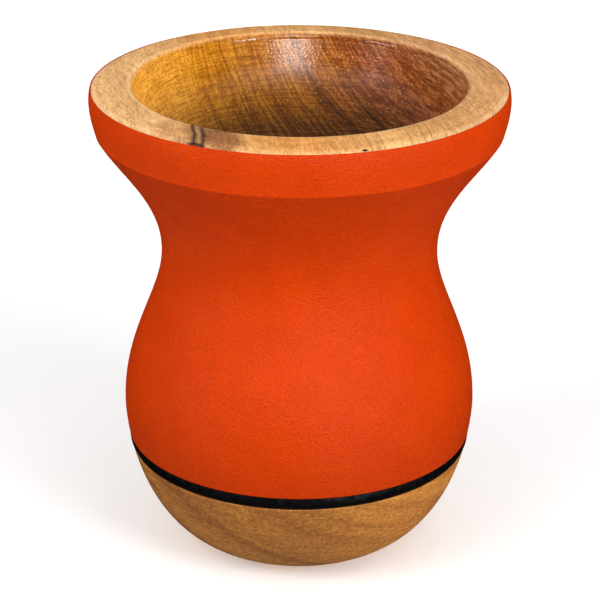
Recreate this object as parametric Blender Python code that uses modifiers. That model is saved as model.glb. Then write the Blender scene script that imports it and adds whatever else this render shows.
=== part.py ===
# Turned wooden mate cup, empty, in a leather sleeve that a black rubber ring closes at the bottom.
# Metres, +Z up, standing on its flat foot with the origin at the foot's centre.

import math

import bpy
import numpy as np
from mathutils import Vector
from mathutils.geometry import interpolate_bezier

# The outer side from the rim down, each point as (radius, height)
RIM = Vector((0.04235, 0.1000))
CREASE = Vector((0.0414, 0.0912))
NECK = Vector((0.02845, 0.0654))
BELLY = Vector((0.03665, 0.0320))
FOOT = Vector((0.0135, 0))

# How the side leaves and meets those points: handles of its cubic curves
BAND_SWELL = Vector((0.0007, -0.0029))
BAND_DRAW_IN = Vector((0.0008, 0.0029))
FLARE_ANGLE = math.radians(31)
FLARE_HANDLE = 0.0077
NECK_HANDLE_UP = 0.0116
NECK_HANDLE_DOWN = 0.0104
BELLY_HANDLE_UP = 0.0145
BELLY_HANDLE_DOWN = 0.0064
FOOT_HANDLE = Vector((0.0195, 0.0013))

# The rim's crowned top and the hollow
CREST_RISE = 0.0010
BEVEL_RADIUS = 0.0402
BEVEL_RISE = 0.00065
MOUTH_RADIUS = 0.0335
LIP_ROUND = 0.0014
MOUTH_HANDLE = Vector((-0.0055, -0.0125))
THROAT_HEIGHT = 0.0600
THROAT_RADIUS = 0.0210
THROAT_HANDLE = 0.0160
FLOOR_HEIGHT = 0.0160
FLOOR_ROUND_HEIGHT = 0.0200

# The leather sleeve is pared thin towards the rim, and the ring sits below it
LEATHER_THICKNESS = 0.0010
PARED_THICKNESS = 0.0003
PARED_LENGTH = 0.0060
SLEEVE_BOTTOM = 0.0250
RING_BULGE = 0.0001
RING_EDGE_DROP = 0.0001
LEDGE_HEIGHT = 0.0223
GAP = 0.0003

# Fineness of the turned surfaces
TURN_STEPS = 60
FINE_STEPS = 64
MERGE_DISTANCE = 0.00001
SHARP_ANGLE = math.radians(32)

WOOD_HEX = 0xC98A4B
LEATHER_HEX = 0xD94412
RUBBER_HEX = 0x0C0C0D


def clear_scene():
    for item in list(bpy.data.objects):
        bpy.data.objects.remove(item, do_unlink=True)


def linear_colour(code):
    channels = [(code >> shift & 255) / 255 for shift in (16, 8, 0)]
    linear = [c / 12.92 if c <= 0.04045 else ((c + 0.055) / 1.055) ** 2.4 for c in channels]
    return (*linear, 1.0)


def make_material(name, code, roughness):
    material = bpy.data.materials.new(name)
    material.use_nodes = True
    shader = material.node_tree.nodes["Principled BSDF"]
    shader.inputs["Base Color"].default_value = linear_colour(code)
    shader.inputs["Roughness"].default_value = roughness
    shader.inputs["Metallic"].default_value = 0.0
    material.diffuse_color = linear_colour(code)
    return material


def curve_points(start, start_handle, end_handle, end, steps):
    """A cubic curve of steps points between two knots, each knot given as (radius, height)."""
    knots = [Vector(p) for p in (start, start_handle, end_handle, end)]
    return [Vector(p) for p in interpolate_bezier(*knots, steps)]


def arc_points(centre, radius, start_angle, end_angle, steps):
    """Points on an arc in the (radius, height) plane, angles in radians from the outward direction."""
    turn = (end_angle - start_angle) / (steps - 1)
    angles = [start_angle + turn * i for i in range(steps)]
    return [Vector(centre) + radius * Vector((math.cos(a), math.sin(a))) for a in angles]


class OuterSide:
    """The cup's whole outer side as one fine line from the rim's outer edge down to the foot."""

    def __init__(self):
        flare = Vector((-math.sin(FLARE_ANGLE), -math.cos(FLARE_ANGLE))) * FLARE_HANDLE
        stretches = [
            (RIM, RIM + BAND_SWELL, CREASE + BAND_DRAW_IN, CREASE),
            (CREASE, CREASE + flare, NECK + Vector((0, NECK_HANDLE_UP)), NECK),
            (NECK, NECK - Vector((0, NECK_HANDLE_DOWN)), BELLY + Vector((0, BELLY_HANDLE_UP)), BELLY),
            (BELLY, BELLY - Vector((0, BELLY_HANDLE_DOWN)), FOOT + FOOT_HANDLE, FOOT),
        ]
        line = [RIM]
        for stretch in stretches:
            line += curve_points(*stretch, FINE_STEPS)[1:]
        self.line = np.array(line)
        steps = np.linalg.norm(np.diff(self.line, axis=0), axis=1)
        self.length = np.concatenate([[0], np.cumsum(steps)])
        along = np.gradient(self.line, self.length, axis=0)
        along /= np.linalg.norm(along, axis=1)[:, None]
        self.inward = np.stack([along[:, 1], -along[:, 0]], axis=1)

    def length_at(self, height):
        return np.interp(-height, -self.line[:, 1], self.length)

    def radius_at(self, height):
        return float(np.interp(-height, -self.line[:, 1], self.line[:, 0]))

    def points(self, top, bottom, count, depth=None):
        """Points evenly spaced along the side between two heights, moved inward by depth(height)."""
        places = np.linspace(self.length_at(top), self.length_at(bottom), count)
        made = []
        for place in places:
            point = Vector([np.interp(place, self.length, self.line[:, i]) for i in (0, 1)])
            inward = Vector([np.interp(place, self.length, self.inward[:, i]) for i in (0, 1)])
            made.append(point + inward.normalized() * (depth(point.y) if depth else 0))
        return made


def leather_depth(height):
    """The leather's thickness at a height: pared thin at the rim, full from PARED_LENGTH below it."""
    share = min(max((RIM.y - height) / PARED_LENGTH, 0), 1)
    return PARED_THICKNESS + (LEATHER_THICKNESS - PARED_THICKNESS) * share


def rebate_depth(height):
    return leather_depth(height) + GAP


def hollow_points():
    """The inside of the cup, from the middle of its floor up the wall and round the lip to the crest."""
    throat = Vector((THROAT_RADIUS, THROAT_HEIGHT))
    corner = Vector((THROAT_RADIUS, FLOOR_HEIGHT + FLOOR_ROUND_HEIGHT))
    mouth = Vector((MOUTH_RADIUS, RIM.y + CREST_RISE - LIP_ROUND))
    floor = [
        Vector((THROAT_RADIUS * math.sin(a), corner.y - FLOOR_ROUND_HEIGHT * math.cos(a)))
        for a in np.linspace(0, math.pi / 2, 8)
    ]
    wall = curve_points(throat, throat + Vector((0, THROAT_HANDLE)), mouth + MOUTH_HANDLE, mouth, 11)
    lip = arc_points(mouth + Vector((LIP_ROUND, 0)), LIP_ROUND, math.pi, math.pi / 2, 4)
    return floor + wall + lip[1:]


def turn_profile(name, points, closed, material, collection):
    """Turns a profile of (radius, height) points round +Z into one closed body."""
    mesh = bpy.data.meshes.new(name)
    edges = [(i, i + 1) for i in range(len(points) - 1)]
    if closed:
        edges.append((len(points) - 1, 0))
    mesh.from_pydata([(p.x, 0, p.y) for p in points], edges, [])
    piece = bpy.data.objects.new(name, mesh)
    collection.objects.link(piece)
    screw = piece.modifiers.new("Turn", "SCREW")
    screw.axis = "Z"
    screw.angle = math.tau
    screw.steps = TURN_STEPS
    screw.render_steps = TURN_STEPS
    screw.use_merge_vertices = True
    screw.merge_threshold = MERGE_DISTANCE
    turned = bpy.data.meshes.new_from_object(piece.evaluated_get(bpy.context.evaluated_depsgraph_get()))
    piece.modifiers.clear()
    piece.data = turned
    turned.name = name
    turned.shade_smooth()
    turned.set_sharp_from_angle(angle=SHARP_ANGLE)
    turned.materials.clear()
    turned.materials.append(material)
    bpy.data.meshes.remove(mesh)
    return piece


def make_wooden_cup(side, collection):
    """One piece of wood: rim, hollow, body with a rebate for the sleeve and ring, and rounded base."""
    bevel = [Vector((BEVEL_RADIUS, RIM.y + BEVEL_RISE))]
    rebate = side.points(RIM.y, CREASE.y, 4, rebate_depth)
    rebate += side.points(CREASE.y, LEDGE_HEIGHT, 17, rebate_depth)[1:]
    rebate[-1].y = LEDGE_HEIGHT
    base = side.points(LEDGE_HEIGHT, 0, 9)
    profile = hollow_points() + bevel + rebate + base + [Vector((0, 0))]
    return turn_profile("wooden_cup", profile, False, make_material("oiled_wood", WOOD_HEX, 0.45), collection)


def make_leather_sleeve(side, collection):
    """The leather skin from the rim's outer edge down to the ring, flush with the rim."""
    outside = side.points(RIM.y, CREASE.y, 4)
    outside += side.points(CREASE.y, SLEEVE_BOTTOM, 17)[1:]
    inside = side.points(RIM.y, CREASE.y, 4, leather_depth)
    inside += side.points(CREASE.y, SLEEVE_BOTTOM, 17, leather_depth)[1:]
    leather = make_material("orange_leather", LEATHER_HEX, 0.5)
    return turn_profile("leather_sleeve", outside + inside[::-1], True, leather, collection)


def make_black_ring(side, collection):
    """A ring of D-shaped section in the rebate between the sleeve's lower edge and the base."""
    top = SLEEVE_BOTTOM - GAP
    bottom = LEDGE_HEIGHT + GAP
    outside = []
    for share in np.linspace(0, 1, 7):
        height = top + (bottom - top) * share
        swell = (RING_BULGE + RING_EDGE_DROP) * math.sin(math.pi * share) - RING_EDGE_DROP
        outside.append(Vector((side.radius_at(height) + swell, height)))
    inside = [Vector((side.radius_at(height) - LEATHER_THICKNESS, height)) for height in (bottom, top)]
    rubber = make_material("black_rubber", RUBBER_HEX, 0.4)
    return turn_profile("black_ring", outside + inside, True, rubber, collection)


def build():
    clear_scene()
    collection = bpy.data.collections.new("mate_cup")
    bpy.context.scene.collection.children.link(collection)
    side = OuterSide()
    make_wooden_cup(side, collection)
    make_leather_sleeve(side, collection)
    make_black_ring(side, collection)


build()
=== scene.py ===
import math
from functools import partial
from types import SimpleNamespace

import bmesh
import bpy
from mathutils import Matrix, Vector
from mathutils.geometry import interpolate_bezier


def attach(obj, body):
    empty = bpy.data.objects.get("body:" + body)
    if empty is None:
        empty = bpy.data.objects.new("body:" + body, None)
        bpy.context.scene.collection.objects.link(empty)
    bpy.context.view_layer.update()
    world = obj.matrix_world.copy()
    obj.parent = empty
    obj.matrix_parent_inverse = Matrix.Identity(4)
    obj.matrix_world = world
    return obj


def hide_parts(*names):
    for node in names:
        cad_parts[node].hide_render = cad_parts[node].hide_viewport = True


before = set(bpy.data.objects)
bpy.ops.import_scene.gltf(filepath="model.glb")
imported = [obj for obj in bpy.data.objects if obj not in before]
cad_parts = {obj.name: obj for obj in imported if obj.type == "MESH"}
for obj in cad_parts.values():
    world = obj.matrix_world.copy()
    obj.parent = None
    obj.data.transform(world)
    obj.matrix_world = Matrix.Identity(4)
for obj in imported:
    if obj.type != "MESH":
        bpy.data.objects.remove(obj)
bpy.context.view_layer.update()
print("frame loaded")

mm = 0.001

# the outer side from rim to foot, points and handles as (radius, height) in millimetres, as in the CAD
outline = {
    "rim": (42.35, 100.0),
    "bandSwell": (0.7, -2.9),
    "bandDrawIn": (0.8, 2.9),
    "crease": (41.4, 91.2),
    "flareAngle": 31,
    "flareHandle": 7.7,
    "neck": (28.45, 65.4),
    "neckHandleUp": 11.6,
    "neckHandleDown": 10.4,
    "belly": (36.65, 32.0),
    "bellyHandleUp": 14.5,
    "bellyHandleDown": 6.4,
    "foot": (13.5, 0.0),
    "footHandle": (19.5, 1.3),
    "curveSteps": 30,
    "turnSteps": 240,
    "leastStep": 0.1,  # a run along the side has no closer points than this at its ends
    "weld": 0.001,  # points this close are made one
    "crispAngle": 13,  # an edge that turns by more than this many degrees is drawn crisp
}


def curve(start, startHandle, endHandle, end, steps):
    knots = [Vector(start), Vector(start) + Vector(startHandle), Vector(end) + Vector(endHandle), Vector(end)]
    return [Vector(p) for p in interpolate_bezier(*knots, steps)]


def quarterTurn(steps):  # angles of a quarter circle
    return [i / steps * math.pi / 2 for i in range(steps + 1)]


def outerSide(shape):
    lean = math.radians(shape["flareAngle"])
    flare = (-math.sin(lean) * shape["flareHandle"], -math.cos(lean) * shape["flareHandle"])
    stretches = [
        (shape["rim"], shape["bandSwell"], shape["bandDrawIn"], shape["crease"]),
        (shape["crease"], flare, (0, shape["neckHandleUp"]), shape["neck"]),
        (shape["neck"], (0, -shape["neckHandleDown"]), (0, shape["bellyHandleUp"]), shape["belly"]),
        (shape["belly"], (0, -shape["bellyHandleDown"]), shape["footHandle"], shape["foot"]),
    ]
    line = [Vector(shape["rim"])]
    for stretch in stretches:
        line += curve(*stretch, shape["curveSteps"])[1:]
    return line


side = outerSide(outline)


def sideAt(height, depth):  # the point of the outer side at a height, moved inward by depth
    for upper, lower in zip(side, side[1:]):
        if lower.y <= height:
            break
    share = (upper.y - height) / (upper.y - lower.y)
    along = (lower - upper).normalized()
    return upper.lerp(lower, share) + Vector((along.y, -along.x)) * depth


def sideRun(top, bottom, depthAt):  # the outer side between two heights, moved inward by depthAt(height)
    step = outline["leastStep"]
    heights = [top] + [p.y for p in side if bottom + step < p.y < top - step] + [bottom]
    return [sideAt(height, depthAt(height)) for height in heights]


def turnOnLathe(profile, closed):  # a profile of (radius, height) in millimetres, spun into a closed body
    bm = bmesh.new()
    verts = [bm.verts.new((p[0] * mm, 0, p[1] * mm)) for p in profile]
    pairs = list(zip(verts, verts[1:]))
    if closed:
        pairs.append((verts[-1], verts[0]))
    edges = [bm.edges.new(pair) for pair in pairs]
    bmesh.ops.spin(
        bm, geom=verts + edges, cent=(0, 0, 0), axis=(0, 0, 1),
        angle=math.tau, steps=outline["turnSteps"], use_merge=True,
    )
    bmesh.ops.remove_doubles(bm, verts=bm.verts, dist=outline["weld"] * mm)
    bmesh.ops.recalc_face_normals(bm, faces=bm.faces)
    return bm


def finishPiece(bm, name, material, node):
    mesh = bpy.data.meshes.new(name)
    bm.to_mesh(mesh)
    bm.free()
    mesh.shade_smooth()
    mesh.set_sharp_from_angle(angle=math.radians(outline["crispAngle"]))
    mesh.materials.append(material)
    piece = bpy.data.objects.new(name, mesh)
    bpy.context.scene.collection.objects.link(piece)
    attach(piece, "root")
    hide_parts(node)
    print("made", name)
    return piece


def linearColour(code):
    channels = [(code >> shift & 255) / 255 for shift in (16, 8, 0)]
    return (*[c / 12.92 if c <= 0.04045 else ((c + 0.055) / 1.055) ** 2.4 for c in channels], 1.0)


def plugIn(node, inputs):  # an input is a fixed value, set on its own socket, or another node's output
    for key, value in inputs.items():
        if isinstance(value, bpy.types.NodeSocket):
            node.id_data.links.new(value, node.inputs[key])
        else:
            node.inputs[key].default_value = value


def addNode(tree, kind, settings, inputs, output=0):
    node = tree.nodes.new("ShaderNode" + kind)
    for key, value in settings.items():
        if key == "stops":
            ramp = node.color_ramp
            while len(ramp.elements) < len(value):
                ramp.elements.new(1)
            for element, (place, colour) in zip(ramp.elements, value):
                element.position = place
                element.color = colour if isinstance(colour, tuple) else (colour, colour, colour, 1)
        else:
            setattr(node, key, value)
    plugIn(node, inputs)
    return node.outputs if output is None else node.outputs[output]


def newMaterial(name):
    material = bpy.data.materials.new(name)
    material.use_nodes = True
    tree = material.node_tree
    return material, tree.nodes["Principled BSDF"], partial(addNode, tree)


# settings that many nodes share
plus = {"operation": "ADD"}
minus = {"operation": "SUBTRACT"}
times = {"operation": "MULTIPLY"}
timesPlus = {"operation": "MULTIPLY_ADD"}
over = {"operation": "DIVIDE"}
length = {"operation": "LENGTH"}
scaled = {"operation": "SCALE"}
smooth = {"interpolation_type": "SMOOTHSTEP"}
colours = {"data_type": "RGBA"}
numbers = {"data_type": "FLOAT"}

# Oiled hardwood, turned and sanded: pale and dry on the rim, browner on the base, glossier and darker where oil
# has soaked into the hollow and drawn darker still down it with painted shade, with growth rings, level fibres,
# short pores, lathe lines and one small knot
woodLook = {
    "fibreTurn": 77,  # degrees that bring the fibres, level across the cup, to the pattern's X
    "pithAcross": 40.7,  # millimetres from the axis to the tree's centre, across the fibres
    "pithHeight": 108.0,
    "ringReach": 80.0,
    "rimRings": [  # colours by millimetres from the tree's centre, palest farthest from it
        (8, 0xDEA268), (14, 0xDDA166), (20, 0xD19759), (34, 0xE8AE6A), (48, 0xE29A4E), (58, 0xE2A057),
        (64, 0xE9B06C), (72, 0xEDB678),
    ],
    # the hollow's colours by millimetres from the tree's centre: partly the oiled wood's own colour, partly
    # painted light and shade, gold on the side far from the centre and dark brown on the side near it
    "hollowRingsAndShade": [
        (8, 0xA87048), (13, 0x9A6038), (18, 0x8C4A20), (24, 0x8E4A1C), (32, 0x9C5714), (36.5, 0x9E5C12),
        (42, 0xAD670F), (50, 0xAE6B11), (58, 0xC07916), (62, 0xD8912A), (72, 0xEEA43C),
    ],
    "baseHex": 0xBE7A2A,
    "baseDeepHex": 0xAA6726,
    "baseReach": (-50, -26),  # millimetres across the fibres, far from the tree's centre and near it
    # painted light: the base drawn darker far from the tree's centre and lighter near it, on the side the light
    # comes from
    "paintedBaseSideLight": (0.88, 1.16),
    "lineHex": 0x6E3F1B,
    "poreHex": 0x5E3414,
    "fleckHex": 0xDF9E62,
    "knotHex": 0x2A211D,
    "knotEdgeHex": 0x7A4A2A,

    # patterns in cells per metre, so that 1000 makes cells of a millimetre; those in threes are along the
    # fibres and twice across them; threads, pores and lathe lines are coarser than real, so that they show
    "ringWaves": 60,  # 17 mm
    "ringBend": 2.0,  # millimetres that the waves bend the rings
    "ringDrift": 0.14,  # how fast the pattern of the rings changes along the fibres
    "bands": 240,  # 4 mm
    "lines": 1300,  # 0.8 mm
    "streakLines": 1500,  # 0.7 mm
    "blotches": 190,  # 5 mm
    "speckles": 2000,  # 0.5 mm
    "fibres": (130, 1000, 1000),  # 8 mm long, 1 mm wide
    "threads": (420, 2500, 2500),  # 2.4 mm long, 0.4 mm wide
    "pores": (600, 1250, 1250),  # one in 1.7 mm by 0.8 mm
    "flecks": (900, 1300, 1300),  # one in 1.1 mm by 0.8 mm
    "dotShare": 0.55,  # of all cells, those left without a pore or fleck
    "dotEdge": (0.1, 0.27),  # a dot's radius in cells, its full middle and its soft edge
    "latheLines": 2300,  # 0.4 mm
    "latheRun": (150, 150, 0),  # 7 mm along X and Y

    # heights, radii and distances in millimetres where one look passes into another
    "baseTop": (40, 50),
    "rimStart": (98.2, 98.6),
    "frontStart": (29.5, 32),  # along the fibres, for the cracks
    "nearStart": (-20, -24),  # along Y, for the stains
    "deepHeights": (80, 97),
    "paintedHollowShade": (0.26, 1.1),  # painted shade and light: how much darker the hollow is drawn down its depth, and lighter at the lip
    "glossHeights": (87, 96),
    "heartRings": (48, 68),
    "tornRings": (30, 48),

    "fibreTone": (0.87, 1.13),
    "bandTone": (1.06, 0.93),
    "speckleTone": (0.91, 1.08),
    "streakTone": (0.82, 1.15),  # lines of half a millimetre to 2 mm along the rings, in the hollow
    "latheTone": (0.87, 1.13),
    "latheFade": 0.45,  # how much of the lathe lines the sanding has left outside the hollow
    "depthOfTone": (1.14, 0.88),  # dark fibres are richer in colour too, not only darker
    "lineDepth": (0.22, 0.1),  # outside the hollow, in it
    "poreDepth": (0.35, 0.75),
    "fleckDepth": (0.7, 0.4),  # in the inner rings, in the outer ones
    "streaks": [(30.3, 0.72), (35.3, 0.66), (42.3, 0.25)],  # dark rings in the hollow: mm, depth
    "streakWidth": 0.8,
    "streakHex": 0x3A1E0A,
    "streakHeights": (88, 100),
    "streakFade": 0.3,

    # painted highlights that pale the edges, outside and at the lip: radius and strength, first and last
    "edgeHighlights": [((40.6, 41.6), (0, 0.22)), ((34.9, 35.3), (0.12, 0))],
    "edgeHighlightHex": 0xFFE3B4,
    "cracks": [4.36, 6.9, 12.6, 15.65, 17.1, 20.35],  # thin dark lines over the front rim, mm across the fibres
    "crackReach": 25.0,
    "crackWidth": 0.14,
    "wobble": 1.6,  # millimetres that stains and knot lines waver
    "crackWobble": 0.3,  # how much of that the cracks waver
    # stains on the front rim: x, radius, half sizes in both directions, depth, colour
    "stains": [
        (-14.7, 38.2, 4.2, 5.2, 0.82, 0x8C522C), (-23.2, 38.6, 3.8, 4.2, 0.6, 0xA2602C),
        (-19.5, 41.75, 1.9, 0.75, 0.97, 0x17100D), (12.2, 41.5, 0.6, 0.34, 0.97, 0x2A1B12),
    ],
    "solidStain": 0.8,  # a stain deeper than this has no gaps
    # dark lines of the knot over the front left of the rim: x where straightest, y there, bow, first and last y
    "knotLines": [(-19.9, -33.5, -18.5, -24.2, -38.1), (-18.15, -33.5, -20.0, -27.0, -39.6)],
    "knotFades": (1, 0.6),  # millimetres in which a line starts and ends
    "knotWidths": [(2.7, 0.5, "knotEdgeHex"), (0.84, 0.92, "knotHex")],  # half width, depth, colour

    "dryRough": 0.6,
    "oiledRough": 0.2,
    "dullRough": 0.9,
    "specular": 0.3,
    "ior": 1.5,
    "latheRelief": 0.5,
    "crackleRelief": 0.55,
    "bumpStrength": 0.9,
    "bumpHeight": 0.12,  # millimetres
}


def woodPatterns(add, look):  # the places, noises and masks that the wood's looks are made from
    wood = SimpleNamespace()
    wood.place = add("TexCoord", {}, {}, "Object")
    wood.cup = add("SeparateXYZ", {}, {0: wood.place}, None)
    grain = add("Mapping", {}, {
        "Vector": wood.place, "Rotation": (0, 0, math.radians(look["fibreTurn"])),
        "Location": (0, -look["pithAcross"] * mm, -look["pithHeight"] * mm),
    })
    wood.level = add("SeparateXYZ", {}, {0: grain}, None)
    flat = add("CombineXYZ", {}, {0: wood.cup[0], 1: wood.cup[1]})
    wood.radius = add("VectorMath", length, {0: flat}, "Value")

    # the tree's rings are tubes round its centre, a little uneven
    slow = add("VectorMath", times, {0: grain, 1: (0.25, 1, 1)})
    bend = add("TexNoise", {}, {"Vector": slow, "Scale": look["ringWaves"], "Detail": 2}, "Color")
    bend = add("VectorMath", minus, {0: bend, 1: (0.5, 0.5, 0.5)})
    reach = look["ringBend"] * mm
    bent = add("VectorMath", timesPlus, {0: bend, 1: (0, reach, reach), 2: grain})
    across = add("VectorMath", times, {0: bent, 1: (0, 1, 1)})
    wood.ring = add("VectorMath", length, {0: across}, "Value")
    wood.ringShare = add("Math", over, {0: wood.ring, 1: look["ringReach"] * mm})
    drift = add("Math", times, {0: wood.level[0], 1: look["ringDrift"]})
    ringPlace = add("CombineXYZ", {}, {0: wood.ring, 1: drift})
    tints = []
    for rings in (look["rimRings"], look["hollowRingsAndShade"]):
        stops = [(distance / look["ringReach"], linearColour(code)) for distance, code in rings]
        tints.append(add("ValToRGB", {"stops": stops}, {0: wood.ringShare}))
    wood.rimTint, wood.hollowTint = tints

    # bands and thin lines follow the rings, fibres and threads run level, blotches and speckles lie anywhere
    wood.bands = add("TexNoise", {}, {"Vector": ringPlace, "Scale": look["bands"], "Detail": 2,
                                      "Roughness": 0.6})
    wood.lines = add("TexNoise", {}, {"Vector": ringPlace, "Scale": look["lines"], "Detail": 1})
    wood.streaks = add("TexNoise", {}, {"Vector": ringPlace, "Scale": look["streakLines"], "Detail": 1})
    fibrePlace = add("VectorMath", times, {0: grain, 1: look["fibres"]})
    fibres = add("TexNoise", {}, {"Vector": fibrePlace, "Scale": 1, "Detail": 2, "Roughness": 0.6})
    threadPlace = add("VectorMath", times, {0: grain, 1: look["threads"]})
    wood.threads = add("TexNoise", {}, {"Vector": threadPlace, "Scale": 1, "Detail": 1})
    wood.strands = add("Math", plus, {0: fibres, 1: wood.threads})
    wood.blotches = add("TexNoise", {}, {"Vector": wood.place, "Scale": look["blotches"], "Detail": 3})
    wood.speckles = add("TexNoise", {}, {"Vector": wood.place, "Scale": look["speckles"], "Detail": 1})

    # pores are dashes a quarter of a millimetre wide, and torn end grain shows as pale flecks
    dots = []
    inner, outer = look["dotEdge"]
    for channel, stretch in enumerate((look["pores"], look["flecks"])):
        cells = add("VectorMath", times, {0: grain, 1: stretch})
        cells = add("TexVoronoi", {}, {"Vector": cells, "Scale": 1}, None)
        dot = add("MapRange", smooth, {"Value": cells["Distance"], "From Min": inner, "From Max": outer,
                                       "To Min": 1, "To Max": 0})
        draw = add("SeparateColor", {}, {0: cells["Color"]}, channel)
        some = add("Math", {"operation": "GREATER_THAN"}, {0: draw, 1: look["dotShare"]})
        dots.append(add("Math", times, {0: dot, 1: some}))
    wood.pores, wood.flecks = dots

    # lathe lines run round the axis
    run = add("Math", plus, {0: wood.radius, 1: wood.cup[2]})
    run = add("Math", times, {0: run, 1: look["latheLines"]})
    sideways = add("VectorMath", times, {0: flat, 1: look["latheRun"]})
    sideways = add("SeparateXYZ", {}, {0: sideways}, None)
    lathePlace = add("CombineXYZ", {}, {0: sideways[0], 1: sideways[1], 2: run})
    wood.lathe = add("TexNoise", {}, {"Vector": lathePlace, "Scale": 1, "Detail": 1})

    # where the surface is: oiled hollow by attribute, bare base and rim by height, and the rim's front
    wood.soak = add("Attribute", {"attribute_name": "soak"}, {}, "Fac")
    start, end = look["baseTop"]
    wood.base = add("MapRange", smooth, {"Value": wood.cup[2], "From Min": start * mm, "From Max": end * mm,
                                         "To Min": 1, "To Max": 0})
    start, end = look["rimStart"]
    high = add("MapRange", smooth, {"Value": wood.cup[2], "From Min": start * mm, "From Max": end * mm})
    dry = add("Math", minus, {0: 1, 1: wood.soak})
    wood.rim = add("Math", times, {0: high, 1: dry})
    start, end = look["frontStart"]
    front = add("MapRange", smooth, {"Value": wood.level[0], "From Min": start * mm, "From Max": end * mm})
    wood.front = add("Math", times, {0: front, 1: wood.rim})
    start, end = look["nearStart"]
    near = add("MapRange", smooth, {"Value": wood.cup[1], "From Min": start * mm, "From Max": end * mm})
    wood.near = add("Math", times, {0: near, 1: wood.rim})
    return wood


def darkLines(middles, width, reach):  # ramp stops for thin lines, each given as (middle, depth)
    stops = []
    for middle, depth in middles:
        stops += [((middle - width) / reach, 0), (middle / reach, depth), ((middle + width) / reach, 0)]
    return stops


def bareWood(add, look, wood):  # the rim and the base, with painted highlights paling the rim's edges
    share = add("MapRange", {}, {"Value": wood.bands, "From Min": 0.36, "From Max": 0.66})
    base = add("Mix", colours, {0: share, 6: linearColour(look["baseHex"]),
                                7: linearColour(look["baseDeepHex"])}, 2)
    # painted light: the base lighter on one side, across the fibres
    far, near = look["baseReach"]
    low, top = look["paintedBaseSideLight"]
    tone = add("MapRange", smooth, {"Value": wood.level[1], "From Min": far * mm, "From Max": near * mm,
                                    "To Min": low, "To Max": top})
    base = add("VectorMath", scaled, {0: base, "Scale": tone})
    tint = add("Mix", colours, {0: wood.base, 6: wood.rimTint, 7: base}, 2)
    # painted highlights: the rim's outer edge and its lip drawn pale
    for (start, end), (first, last) in look["edgeHighlights"]:
        edgeGlint = add("MapRange", smooth, {"Value": wood.radius, "From Min": start * mm, "From Max": end * mm,
                                        "To Min": first, "To Max": last})
        edgeGlint = add("Math", times, {0: edgeGlint, 1: wood.rim})
        tint = add("Mix", colours, {0: edgeGlint, 6: tint, 7: linearColour(look["edgeHighlightHex"])}, 2)
    return tint


def rimMarks(add, look, wood, tint):  # cracks across the front rim, stains, and the knot's dark lines
    wobble = add("Math", minus, {0: wood.blotches, 1: 0.5})
    wobble = add("Math", times, {0: wobble, 1: look["wobble"] * mm})
    uneven = add("Math", plus, {0: wood.cup[0], 1: wobble})

    reach = look["crackReach"]
    place = add("Math", timesPlus, {0: wobble, 1: look["crackWobble"], 2: wood.level[1]})
    place = add("Math", timesPlus, {0: place, 1: 1 / (reach * mm), 2: look["pithAcross"] / reach})
    stops = darkLines([(middle, 1) for middle in look["cracks"]], look["crackWidth"], reach)
    cracks = add("ValToRGB", {"stops": stops}, {0: place})
    broken = add("MapRange", smooth, {"Value": wood.blotches, "From Min": 0.36, "From Max": 0.5,
                                      "To Min": 0.25, "To Max": 0.8})
    cracks = add("Math", times, {0: cracks, 1: broken})
    cracks = add("Math", times, {0: cracks, 1: wood.front})
    tint = add("Mix", colours, {0: cracks, 6: tint, 7: linearColour(look["lineHex"])}, 2)

    for x, radius, sizeX, sizeR, depth, code in look["stains"]:
        spot = add("CombineXYZ", {}, {0: uneven, 1: wood.radius})
        spot = add("Mapping", {"vector_type": "TEXTURE"}, {
            "Vector": spot, "Location": (x * mm, radius * mm, 0), "Scale": (sizeX * mm, sizeR * mm, 1)})
        spot = add("VectorMath", length, {0: spot}, "Value")
        spot = add("MapRange", smooth, {"Value": spot, "From Min": 0.6, "From Max": 1.2,
                                        "To Min": depth, "To Max": 0})
        gaps = 1 if depth > look["solidStain"] else 0.45
        patchy = add("MapRange", smooth, {"Value": wood.blotches, "From Min": 0.32, "From Max": 0.56,
                                          "To Min": gaps, "To Max": 1})
        spot = add("Math", times, {0: spot, 1: patchy})
        spot = add("Math", times, {0: spot, 1: wood.near})
        tint = add("Mix", colours, {0: spot, 6: tint, 7: linearColour(code)}, 2)

    startFade, endFade = look["knotFades"]
    for x, y, bow, first, last in look["knotLines"]:
        offY = add("Math", minus, {0: wood.cup[1], 1: y * mm})
        offY = add("Math", times, {0: offY, 1: offY})
        middle = add("Math", timesPlus, {0: offY, 1: bow, 2: x * mm})
        offX = add("Math", minus, {0: uneven, 1: middle})
        offX = add("Math", {"operation": "ABSOLUTE"}, {0: offX})
        frayed = add("MapRange", smooth, {"Value": wood.threads, "From Min": 0.34, "From Max": 0.54,
                                          "To Min": 0.6, "To Max": 1})
        frayed = add("Math", times, {0: frayed, 1: wood.rim})
        for start, end in ((last - endFade, last), (first + startFade, first)):
            fade = add("MapRange", smooth, {"Value": wood.cup[1], "From Min": start * mm, "From Max": end * mm})
            frayed = add("Math", times, {0: frayed, 1: fade})
        for halfWidth, depth, name in look["knotWidths"]:
            line = add("MapRange", smooth, {"Value": offX, "From Max": halfWidth * mm,
                                            "To Min": depth, "To Max": 0})
            line = add("Math", times, {0: line, 1: frayed})
            tint = add("Mix", colours, {0: line, 6: tint, 7: linearColour(look[name])}, 2)
    return tint


def hollowWood(add, look, wood, paintedDepthShade):  # the oiled hollow, with painted shade darker with depth and painted light at the lip, with a few dark rings
    stops = darkLines(look["streaks"], look["streakWidth"], look["ringReach"])
    darkRings = add("ValToRGB", {"stops": stops}, {0: wood.ringShare})
    start, end = look["streakHeights"]
    lower = add("MapRange", smooth, {"Value": wood.cup[2], "From Min": start * mm, "From Max": end * mm,
                                     "To Min": 1, "To Max": look["streakFade"]})
    darkRings = add("Math", times, {0: darkRings, 1: lower})
    oiled = add("Mix", colours, {0: darkRings, 6: wood.hollowTint, 7: linearColour(look["streakHex"])}, 2)
    # painted shade: the hollow's colour scaled darker with depth and lighter at the lip
    return add("VectorMath", scaled, {0: oiled, "Scale": paintedDepthShade})


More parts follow.
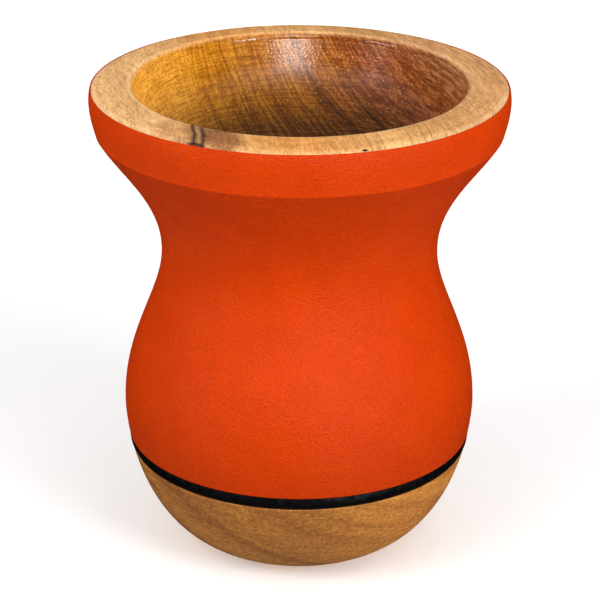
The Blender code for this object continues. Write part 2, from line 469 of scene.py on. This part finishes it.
def grainTone(add, look, wood):  # fibres, ring bands, streaks, speckles and lathe lines as one brightness
    low, top = look["fibreTone"]
    tone = add("MapRange", {}, {"Value": wood.strands, "From Min": 0.74, "From Max": 1.26,
                                "To Min": low, "To Max": top})
    low, top = look["bandTone"]
    banded = add("MapRange", {}, {"Value": wood.bands, "From Min": 0.35, "From Max": 0.65,
                                  "To Min": low, "To Max": top})
    low, top = look["streakTone"]
    streaked = add("MapRange", {}, {"Value": wood.streaks, "From Min": 0.4, "From Max": 0.6,
                                    "To Min": low, "To Max": top})
    inner, outer = look["heartRings"]
    heart = add("MapRange", smooth, {"Value": wood.ring, "From Min": inner * mm, "From Max": outer * mm,
                                     "To Min": 1, "To Max": 0.25})
    heart = add("Math", times, {0: heart, 1: wood.soak})
    streaked = add("Mix", numbers, {0: heart, 2: 1, 3: streaked})
    low, top = look["speckleTone"]
    speckled = add("MapRange", {}, {"Value": wood.speckles, "From Min": 0.4, "From Max": 0.6,
                                    "To Min": low, "To Max": top})
    low, top = look["latheTone"]
    turned = add("MapRange", {}, {"Value": wood.lathe, "From Min": 0.38, "From Max": 0.62,
                                  "To Min": low, "To Max": top})
    sanded = add("MapRange", {}, {"Value": wood.soak, "To Min": look["latheFade"], "To Max": 1})
    turned = add("Mix", numbers, {0: sanded, 2: 1, 3: turned})
    for layer in (banded, streaked, speckled, turned):
        tone = add("Math", times, {0: tone, 1: layer})
    return tone


def fineMarks(add, look, wood, paintedDepthShade, tint):  # thin ring lines, pores and flecks over all of the wood
    lines = add("MapRange", smooth, {"Value": wood.lines, "From Min": 0.56, "From Max": 0.7})
    dry, oiled = look["lineDepth"]
    depth = add("MapRange", {}, {"Value": wood.soak, "To Min": dry, "To Max": oiled})
    lines = add("Math", times, {0: lines, 1: depth})
    tint = add("Mix", colours, {0: lines, 6: tint, 7: linearColour(look["lineHex"])}, 2)
    dry, oiled = look["poreDepth"]
    depth = add("MapRange", {}, {"Value": wood.soak, "To Min": dry, "To Max": oiled})
    pores = add("Math", times, {0: wood.pores, 1: depth})
    tint = add("Mix", colours, {0: pores, 6: tint, 7: linearColour(look["poreHex"])}, 2)
    inner, outer = look["tornRings"]
    strong, weak = look["fleckDepth"]
    torn = add("MapRange", smooth, {"Value": wood.ring, "From Min": inner * mm, "From Max": outer * mm,
                                    "To Min": strong, "To Max": weak})
    for mask in (wood.soak, paintedDepthShade, wood.flecks):
        torn = add("Math", times, {0: torn, 1: mask})
    return add("Mix", colours, {0: torn, 6: tint, 7: linearColour(look["fleckHex"])}, 2)


def makeWoodMaterial(look):
    material, shader, add = newMaterial("oiledHardwood")
    wood = woodPatterns(add, look)
    # painted shade: the hollow drawn darker with depth, and lighter at the lip
    start, end = look["deepHeights"]
    low, top = look["paintedHollowShade"]
    paintedDepthShade = add("MapRange", smooth, {"Value": wood.cup[2], "From Min": start * mm, "From Max": end * mm,
                                    "To Min": low, "To Max": top})
    tint = rimMarks(add, look, wood, bareWood(add, look, wood))
    tint = add("Mix", colours, {0: wood.soak, 6: tint, 7: hollowWood(add, look, wood, paintedDepthShade)}, 2)
    tone = grainTone(add, look, wood)
    tint = add("VectorMath", scaled, {0: tint, "Scale": tone})
    low, top = look["depthOfTone"]
    richer = add("MapRange", {}, {"Value": tone, "From Min": 0.75, "From Max": 1.25,
                                  "To Min": low, "To Max": top})
    tint = add("Gamma", {}, {0: tint, 1: richer})
    tint = fineMarks(add, look, wood, paintedDepthShade, tint)

    # the oil shines near the lip and has gone dull farther down
    start, end = look["glossHeights"]
    oiled = add("MapRange", smooth, {"Value": wood.cup[2], "From Min": start * mm, "From Max": end * mm,
                                     "To Min": look["dullRough"], "To Max": look["oiledRough"]})
    rough = add("Mix", numbers, {0: wood.soak, 2: look["dryRough"], 3: oiled})

    # fibres, pores and lathe lines stand out where the wood is dry, and crazed oil in the hollow
    relief = add("Math", minus, {0: wood.strands, 1: wood.pores})
    relief = add("Math", timesPlus, {0: wood.lathe, 1: look["latheRelief"], 2: relief})
    crackle = add("Math", times, {0: wood.speckles, 1: look["crackleRelief"]})
    relief = add("Mix", numbers, {0: wood.soak, 2: relief, 3: crackle})
    bump = add("Bump", {}, {"Height": relief, "Strength": look["bumpStrength"],
                            "Distance": look["bumpHeight"] * mm})
    plugIn(shader, {"Base Color": tint, "Roughness": rough, "Normal": bump, "IOR": look["ior"],
                    "Specular IOR Level": look["specular"]})
    return material


# the wooden cup, heights and radii in millimetres
cupShape = {
    "floorHeight": 16.0,
    "floorRound": 20.0,
    "floorSteps": 12,
    "throat": (21.0, 60.0),
    "throatHandle": (0, 16.0),
    "mouth": (33.5, 99.6),
    "mouthHandle": (-5.5, -12.5),
    "wallSteps": 48,
    "lipRound": 1.4,
    "lipSteps": 8,
    "crownHandles": ((1.5, 0), (-1.6, 0.14)),
    "crownSteps": 10,
    "bevel": (40.2, 100.65),
    "edgeHandles": ((0.5, -0.04), (-0.35, 0.14)),
    "edgeSteps": 7,
    "edgeShort": (0.05, 0.01),  # how far the rim's edge stops short of the leather's inner side
    "edgeRound": 0.15,
    "ledgeHeight": 22.3,
    "leatherRoom": 0.05,
    "footRound": 0.4,
    "footRings": (9, 4.5, 0),
    "soakedRadius": 34.2,  # the oil reaches this far over the lip
    "soakedFade": 0.5,
    "hollowFloor": 10,  # the hollow is higher than this, and wider than hollowRadius only above hollowNeck
    "hollowRadius": 24,
    "hollowNeck": 60,
}

# the leather sleeve, in millimetres: pared thin towards the rim, with both edges slightly rounded
leatherShape = {
    "thickness": 1.0,
    "paredThickness": 0.3,
    "paredLength": 6.0,
    "bottom": 25.0,
    "inset": 0.04,  # the skin lies this far inside the outline
    "outerDrop": 0.12,  # the skin starts this far below the rim, the inner side innerDrop below it
    "innerDrop": 0.1,
    "upperEdge": (0.12, 0.02),  # inward from the skin, above the rim's edge
    "lowerRound": 0.3,
    "lowerEdge": (0.08, 0.1),  # inward from the skin, above the bottom
}


def leatherDepth(height):
    share = min(max((outline["rim"][1] - height) / leatherShape["paredLength"], 0), 1)
    thin = leatherShape["paredThickness"]
    return thin + (leatherShape["thickness"] - thin) * share


def makeCup(shape, material):
    throat, mouth = Vector(shape["throat"]), Vector(shape["mouth"])
    rimTop, ledgeTop = outline["rim"][1], shape["ledgeHeight"]
    floorRound, lipRound, edgeRound = shape["floorRound"], shape["lipRound"], shape["edgeRound"]
    floor = [(throat.x * math.sin(a), shape["floorHeight"] + floorRound * (1 - math.cos(a)))
             for a in quarterTurn(shape["floorSteps"])]
    wall = curve(throat, shape["throatHandle"], shape["mouthHandle"], mouth, shape["wallSteps"])
    lip = [(mouth.x + lipRound * (1 - math.cos(a)), mouth.y + lipRound * math.sin(a))
           for a in quarterTurn(shape["lipSteps"])[1:]]
    crown = curve(lip[-1], *shape["crownHandles"], shape["bevel"], shape["crownSteps"])[1:]
    top, (inward, down) = sideAt(rimTop, leatherDepth(rimTop)), shape["edgeShort"]
    edge = curve(crown[-1], *shape["edgeHandles"], (top.x - inward, top.y - down), shape["edgeSteps"])[1:]
    body = sideRun(rimTop - edgeRound, ledgeTop, lambda height: leatherDepth(height) + shape["leatherRoom"])
    ledge = [(sideAt(ledgeTop, 0).x - edgeRound, ledgeTop)]
    base = sideRun(ledgeTop - edgeRound, 0, lambda height: 0)
    foot = [(radius, 0) for radius in (base[-1].x - shape["footRound"], *shape["footRings"])]
    bm = turnOnLathe(floor + wall + lip + crown + edge + body + ledge + base + foot, False)
    return finishPiece(bm, "turnedCup", material, "wooden_cup")


def soakHollow(cup, shape):  # marks the oiled hollow, 1 inside and fading out over the lip
    soak = cup.data.attributes.new("soak", "FLOAT", "POINT")
    for vertex, entry in zip(cup.data.vertices, soak.data):
        radius, height = math.hypot(vertex.co.x, vertex.co.y) / mm, vertex.co.z / mm
        inside = radius < shape["hollowRadius"] or height > shape["hollowNeck"]
        share = min(max((shape["soakedRadius"] - radius) / shape["soakedFade"], 0), 1)
        entry.value = share if inside and height > shape["hollowFloor"] else 0


def makeSleeve(shape, material):
    top, bottom = outline["rim"][1], shape["bottom"]
    outside = sideRun(top - shape["outerDrop"], bottom + shape["lowerRound"], lambda height: shape["inset"])
    inside = sideRun(top - shape["innerDrop"], bottom, leatherDepth)
    lower, upper = sideAt(bottom, 0), sideAt(top, 0)
    inward, rise = shape["lowerEdge"]
    lowerEdge = [(lower.x - inward, lower.y + rise), (lower.x - shape["lowerRound"], lower.y)]
    inward, rise = shape["upperEdge"]
    upperEdge = [(inside[0].x, top + rise), (upper.x - inward, top)]
    bm = turnOnLathe(outside + lowerEdge + inside[::-1] + upperEdge, True)
    return finishPiece(bm, "leatherSleeve", material, "leather_sleeve")


# Dyed cowhide with a fine printed grain: strong even orange, soft broad highlights
leatherLook = {
    "orangeHex": 0xD23D01,
    "deepHex": 0xC83800,
    # brightness by height in mm, painted shade and light: darker low on the belly and just under the band's
    # edge, lighter on the band just above it
    "paintedShadeByHeight": [
        (26, 0.88), (38, 0.98), (48, 1.03), (60, 1.03), (84, 0.98), (91.1, 0.86), (91.3, 1.1), (95, 1.04),
        (99, 1.0),
    ],
    "heightReach": 100.0,
    # patterns in cells per metre; the pebbled grain is drawn a little coarser than real, so that it shows
    "clouds": 130,  # dye clouds of 8 mm
    "mottle": 1400,  # 0.7 mm
    "pebbles": 2500,  # 0.4 mm from crest to crest
    "crumple": 1900,  # 0.5 mm
    "bumpHeight": 0.13,  # millimetres
    "rough": 0.37,
    "ior": 1.45,
    "specular": 0.07,
}


def makeLeatherMaterial(look):
    material, shader, add = newMaterial("dyedCowhide")
    place = add("TexCoord", {}, {}, "Object")
    clouds = add("TexNoise", {}, {"Vector": place, "Scale": look["clouds"], "Detail": 3, "Roughness": 0.6})
    mottle = add("TexNoise", {}, {"Vector": place, "Scale": look["mottle"], "Detail": 2})
    mixed = add("Math", plus, {0: clouds, 1: mottle})
    share = add("MapRange", {}, {"Value": mixed, "From Min": 0.75, "From Max": 1.25})
    tint = add("Mix", colours, {0: share, 6: linearColour(look["deepHex"]),
                                7: linearColour(look["orangeHex"])}, 2)

    # painted light and shade: the orange is scaled by height
    reach = look["heightReach"]
    height = add("SeparateXYZ", {}, {0: place}, 2)
    height = add("Math", over, {0: height, 1: reach * mm})
    stops = [(level / reach, tone / 2) for level, tone in look["paintedShadeByHeight"]]  # a ramp holds no more than 1
    tone = add("ValToRGB", {"stops": stops}, {0: height})
    tone = add("Math", times, {0: tone, 1: 2})
    tint = add("VectorMath", scaled, {0: tint, "Scale": tone})

    pebbles = add("TexVoronoi", {}, {"Vector": place, "Scale": look["pebbles"]}, "Distance")
    crumple = add("TexNoise", {}, {"Vector": place, "Scale": look["crumple"], "Detail": 2})
    relief = add("Math", plus, {0: pebbles, 1: crumple})
    bump = add("Bump", {}, {"Height": relief, "Strength": 1, "Distance": look["bumpHeight"] * mm})
    plugIn(shader, {"Base Color": tint, "Normal": bump, "Roughness": look["rough"], "IOR": look["ior"],
                    "Specular IOR Level": look["specular"]})
    return material


# the ring in its groove, in millimetres
ringShape = {
    "top": 25.0,
    "bottom": 22.3,
    "swell": 0.1,
    "edgeDrop": 0.15,
    "depth": 1.0,
    "gap": 0.05,
    "steps": 16,
}

# Moulded black rubber: nearly black all over, with a faint gloss that scuffs of 1.5 mm make uneven
rubberLook = {
    "blackHex": 0x070708,
    "scuffs": 700,
    "rough": (0.24, 0.42),
    "specular": 0.5,
}


def makeRubberMaterial(look):
    material, shader, add = newMaterial("blackRubber")
    place = add("TexCoord", {}, {}, "Object")
    scuffs = add("TexNoise", {}, {"Vector": place, "Scale": look["scuffs"], "Detail": 2})
    low, top = look["rough"]
    rough = add("MapRange", {}, {"Value": scuffs, "From Min": 0.35, "From Max": 0.65,
                                 "To Min": low, "To Max": top})
    plugIn(shader, {"Base Color": linearColour(look["blackHex"]), "Roughness": rough,
                    "Specular IOR Level": look["specular"]})
    return material


def makeRing(shape, material):
    top, bottom = shape["top"] - shape["gap"], shape["bottom"] + shape["gap"]
    steps, drop = shape["steps"], shape["edgeDrop"]
    outside = []
    for i in range(steps + 1):
        height = top + (bottom - top) * i / steps
        swell = (shape["swell"] + drop) * math.sin(math.pi * i / steps) - drop
        outside.append(sideAt(height, -swell))
    inside = [sideAt(bottom, shape["depth"]), sideAt(top, shape["depth"])]
    bm = turnOnLathe(outside + inside, True)
    return finishPiece(bm, "rubberRing", material, "black_ring")


cup = makeCup(cupShape, makeWoodMaterial(woodLook))
soakHollow(cup, cupShape)
makeSleeve(leatherShape, makeLeatherMaterial(leatherLook))
makeRing(ringShape, makeRubberMaterial(rubberLook))

# the studio, in metres and degrees
studio = {
    "floorHex": 0xFAFAFA,
    "floorRadius": 8.0,
    "floorSteps": 96,
    "floorLift": 0.2,  # a lit table: the photo's floor is pure white
    "floorRough": 0.9,
    "floorSpecular": 0.1,
    "worldHex": 0xFFFFFF,
    # brightness of the air, from straight down at 0 to straight up at 1
    "airStops": [(0.2, 0.85), (0.4, 0.05), (0.6, 0.58), (0.8, 0.57)],
    "glowPlace": (0, 0.75, 0.55),
    "glowSize": (1.6, 0.6),
    "glowSpread": 80,
    "glowWatts": 4.0,
    "aim": (0, 0, 0.06),
    "cameraPlace": (0.00014, -0.4905, 0.2585),
    "cameraPitch": 22.712,
    "cameraRoll": 0.18,
    "cameraLens": 153.2,
    "cameraSensor": 36,
}
# azimuth and elevation in degrees, distance, width and height in metres, watts, and what the lamp makes
softboxes = {
    "rightFront": (-48, 18, 0.7, 0.26, 0.35, 3.0, "light"),
    "rightShine": (-52, 9, 0.7, 0.18, 0.14, 3.6, "shine"),
    "rightHigh": (-60, 45, 0.7, 0.30, 0.30, 0.75, "light"),
    "leftStrip": (-155, 20, 0.7, 0.13, 0.30, 1.4, "light"),
    "leftShine": (-149, 17, 0.7, 0.07, 0.10, 2.0, "shine"),
    "leftHigh": (-130, 40, 0.7, 0.30, 0.30, 1.05, "light"),
    "mouthShine": (-85, 34, 0.7, 0.26, 0.11, 2.8, "shine"),
}


def layFloor(settings):
    bm = bmesh.new()
    bmesh.ops.create_circle(bm, cap_ends=True, segments=settings["floorSteps"], radius=settings["floorRadius"])
    mesh = bpy.data.meshes.new("studioFloor")
    bm.to_mesh(mesh)
    bm.free()
    floor = bpy.data.objects.new("studioFloor", mesh)
    bpy.context.scene.collection.objects.link(floor)
    material, shader, _ = newMaterial("paleFloor")
    white = linearColour(settings["floorHex"])
    plugIn(shader, {"Base Color": white, "Emission Color": white, "Emission Strength": settings["floorLift"],
                    "Roughness": settings["floorRough"], "Specular IOR Level": settings["floorSpecular"]})
    mesh.materials.append(material)
    floor.visible_diffuse = False  # the softboxes and the air light the cup, not the floor
    floor.visible_glossy = False
    floor.visible_shadow = False


def hangLamp(name, width, height, watts):
    light = bpy.data.lights.new(name, "AREA")
    light.shape = "RECTANGLE"
    light.size = width
    light.size_y = height
    light.energy = watts
    lamp = bpy.data.objects.new(name, light)
    bpy.context.scene.collection.objects.link(lamp)
    lamp.visible_camera = False
    return lamp


def hangLamps(settings, boxes):
    for name, (azimuth, elevation, distance, width, height, watts, makes) in boxes.items():
        lamp = hangLamp(name, width, height, watts)
        turn, rise = math.radians(azimuth), math.radians(elevation)
        away = Vector((math.cos(turn) * math.cos(rise), math.sin(turn) * math.cos(rise), math.sin(rise)))
        lamp.location = Vector(settings["aim"]) + away * distance
        lamp.rotation_euler = away.to_track_quat("Z", "Y").to_euler()
        lamp.visible_diffuse = makes != "shine"
        lamp.visible_glossy = makes != "light"
    glow = hangLamp("floorGlow", *settings["glowSize"], settings["glowWatts"])  # lights the floor, not the cup
    glow.data.spread = math.radians(settings["glowSpread"])
    glow.location = settings["glowPlace"]


def fillAir(settings):
    world = bpy.data.worlds.new("studioAir")
    world.use_nodes = True
    add = partial(addNode, world.node_tree)
    heading = add("TexCoord", {}, {}, "Generated")
    rise = add("SeparateXYZ", {}, {0: heading}, 2)
    rise = add("MapRange", {}, {"Value": rise, "From Min": -1})
    layers = add("ValToRGB", {"stops": settings["airStops"]}, {0: rise})
    air = world.node_tree.nodes["Background"]
    plugIn(air, {"Color": linearColour(settings["worldHex"]), "Strength": layers})
    world.cycles_visibility.glossy = False  # only the softboxes shine on the cup, as in a dark studio
    bpy.context.scene.world = world


def placeCamera(settings):
    camera = bpy.data.cameras.new("photoCamera")
    camera.lens = settings["cameraLens"]
    camera.sensor_width = settings["cameraSensor"]
    eye = bpy.data.objects.new("photoCamera", camera)
    bpy.context.scene.collection.objects.link(eye)
    eye.location = settings["cameraPlace"]
    eye.rotation_euler = (math.radians(90 - settings["cameraPitch"]), 0, 0)
    eye.rotation_euler.rotate_axis("Z", math.radians(settings["cameraRoll"]))
    bpy.context.scene.camera = eye


layFloor(studio)
hangLamps(studio, softboxes)
fillAir(studio)
placeCamera(studio)
bpy.context.scene.view_settings.view_transform = "Standard"
print("studio set")
